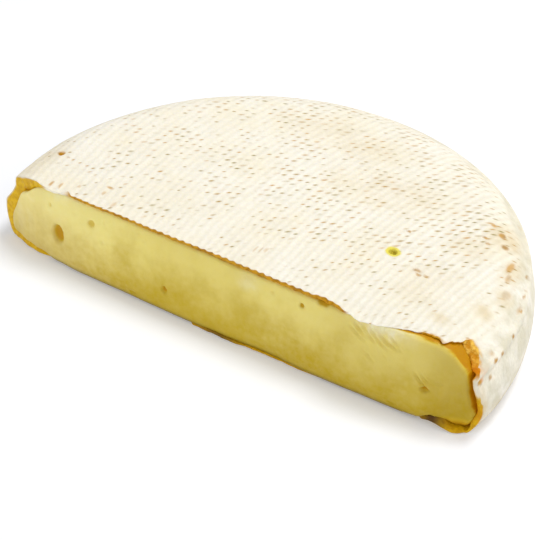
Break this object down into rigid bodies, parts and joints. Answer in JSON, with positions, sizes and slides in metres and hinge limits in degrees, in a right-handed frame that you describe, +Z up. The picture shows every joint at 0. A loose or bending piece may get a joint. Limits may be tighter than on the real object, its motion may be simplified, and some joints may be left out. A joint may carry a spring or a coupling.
{
  "type": "half wheel of reblochon cheese",
  "caption": "Half wheel of soft washed-rind cheese: flat round disc cut across just past its middle, cloth-marked white rind, pale yellow paste slumping out of the cut.",
  "frame": {"origin": "middle of the underside of the bounding box, on the surface the cheese rests on", "axes": "+X along the cut, towards its right end when the cut face is seen from the front; the cut face looks towards -Y; +Z up through the top rind"},
  "size_m": [0.14, 0.0862, 0.022],
  "materials": {
    "rind": "dry, cream-white natural rind with cloth marks and fine ochre pits, ochre where the bloom is torn",
    "paste": "moist, smooth, slightly translucent pale yellow paste of the cut face, with a few small eyes"
  },
  "bodies": {
    "root": {"cheese": "rind"}
  },
  "joints": []
}
